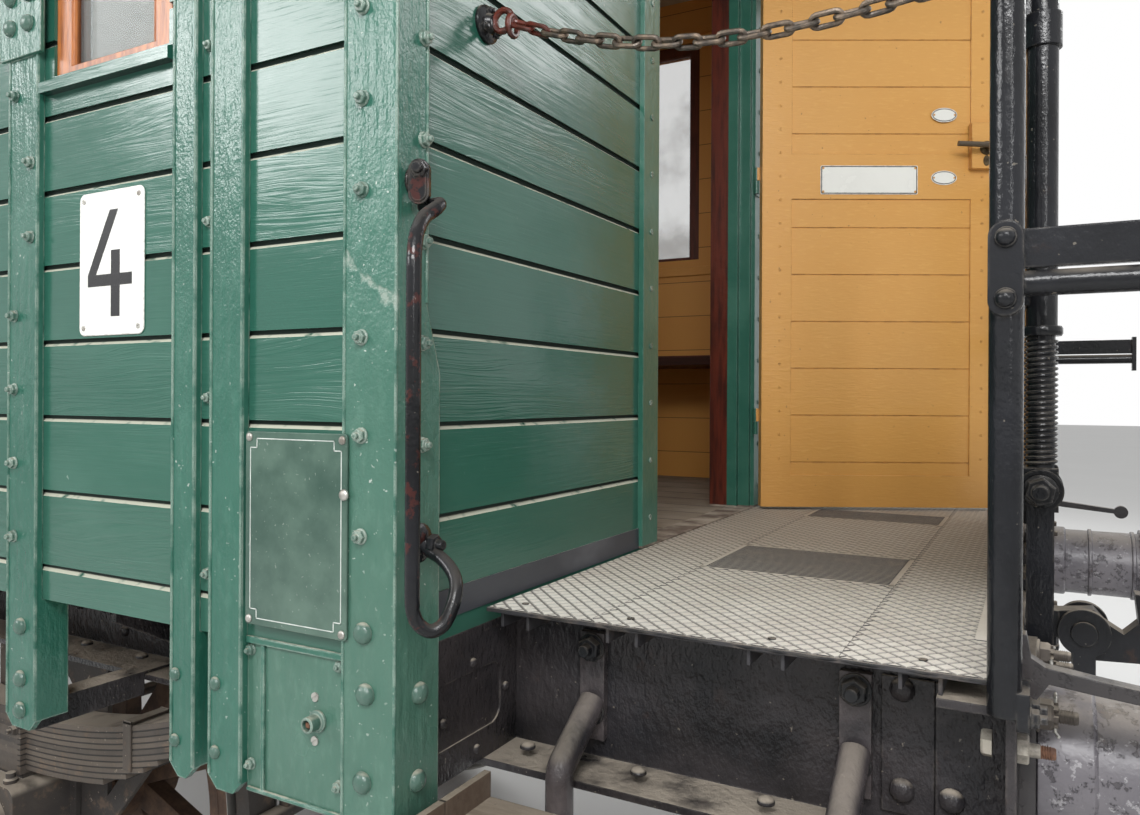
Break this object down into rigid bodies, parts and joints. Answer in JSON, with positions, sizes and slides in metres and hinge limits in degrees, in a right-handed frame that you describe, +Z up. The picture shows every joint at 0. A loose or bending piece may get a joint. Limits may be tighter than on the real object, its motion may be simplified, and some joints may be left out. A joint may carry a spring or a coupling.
{
  "type": "two-axle railway coach with open end platforms",
  "caption": "Old two-axle baggage and passenger coach: dark green boarded sides with steel posts, green ends, ochre doors, open end platforms, steps, buffers and spoked wheels.",
  "frame": {"origin": "midway between the buffers, at the lowest point of the wheel flanges", "axes": "+X along the coach towards end a, the end with the handbrake and the open door; -Y the near side; +Z up"},
  "size_m": [11.28, 2.86, 3.768],
  "materials": {
    "body_green": "gloss",
    "post_green": "gloss",
    "end_ochre": "satin",
    "door_ochre": "satin",
    "window_brown": "gloss",
    "window_glass": "polished",
    "roof_grey": "satin",
    "roof_metal": "satin",
    "floor_wood": "matte",
    "bench_wood": "gloss",
    "deck_steel": "satin",
    "frame_black": "satin",
    "iron_black": "satin",
    "rail_black": "gloss",
    "chain_black": "satin",
    "buffer_steel": "greased",
    "wheel_steel": "matte",
    "step_wood": "matte"
  },
  "bodies": {
    "coach": {"solebars": "frame_black", "headstocks": "frame_black", "cross_members": "frame_black", "floor_planks": "floor_wood", "side_wall_near": "body_green", "side_wall_far": "body_green", "side_posts": "post_green", "corner_posts": "post_green", "end_wall_a": "body_green", "end_wall_b": "body_green", "door_frames": "post_green", "door_rails": "frame_black", "window_frames": "window_brown", "window_glass": "window_glass", "roof": "roof_grey", "roof_vents": "roof_metal", "partition": "end_ochre", "benches": "bench_wood", "platforms": "deck_steel", "end_railings": "iron_black", "handbrake": "iron_black", "buffer_housings": "iron_black", "buffer_heads": "buffer_steel", "draw_hooks": "iron_black", "screw_couplings": "iron_black", "brake_pipe": "iron_black", "axle_guards": "frame_black", "axle_boxes": "iron_black", "leaf_springs": "iron_black", "brake_rigging": "iron_black", "step_boards": "step_wood", "step_hangers": "iron_black", "handrails": "rail_black", "safety_chains": "chain_black"},
    "wheelset_a": {"wheels_a": "wheel_steel", "axle_a": "wheel_steel"},
    "wheelset_b": {"wheels_b": "wheel_steel", "axle_b": "wheel_steel"},
    "end_door_a": {"end_door_a": "door_ochre"},
    "end_door_b": {"end_door_b": "door_ochre"},
    "baggage_door_near": {"baggage_door_near": "body_green"},
    "baggage_door_far": {"baggage_door_far": "body_green"},
    "fall_plate_a": {"fall_plate_a": "deck_steel"},
    "fall_plate_b": {"fall_plate_b": "deck_steel"}
  },
  "joints": [
    {"name": "wheelset_a_spin", "type": "hinge", "parent": "coach", "child": "wheelset_a", "pos_m": [2.8, 0, 0.528], "axis": [0, 1, 0], "continuous": true},
    {"name": "wheelset_b_spin", "type": "hinge", "parent": "coach", "child": "wheelset_b", "pos_m": [-2.8, 0, 0.528], "axis": [0, 1, 0], "continuous": true},
    {"name": "end_door_a_hinge", "type": "hinge", "parent": "coach", "child": "end_door_a", "pos_m": [4.259, 0.371, 2.2], "axis": [0, 0, 1], "range_deg": [-118, 0]},
    {"name": "end_door_b_hinge", "type": "hinge", "parent": "coach", "child": "end_door_b", "pos_m": [-4.259, -0.371, 2.2], "axis": [0, 0, 1], "range_deg": [0, 118]},
    {"name": "baggage_door_near_slide", "type": "slide", "parent": "coach", "child": "baggage_door_near", "axis": [1, 0, 0], "range_m": [0, 1.48]},
    {"name": "baggage_door_far_slide", "type": "slide", "parent": "coach", "child": "baggage_door_far", "axis": [1, 0, 0], "range_m": [0, 1.48]},
    {"name": "fall_plate_a_hinge", "type": "hinge", "parent": "coach", "child": "fall_plate_a", "pos_m": [5.032, 0, 1.228], "axis": [0, 1, 0], "range_deg": [0, 90]},
    {"name": "fall_plate_b_hinge", "type": "hinge", "parent": "coach", "child": "fall_plate_b", "pos_m": [-5.032, 0, 1.228], "axis": [0, -1, 0], "range_deg": [0, 90]}
  ]
}
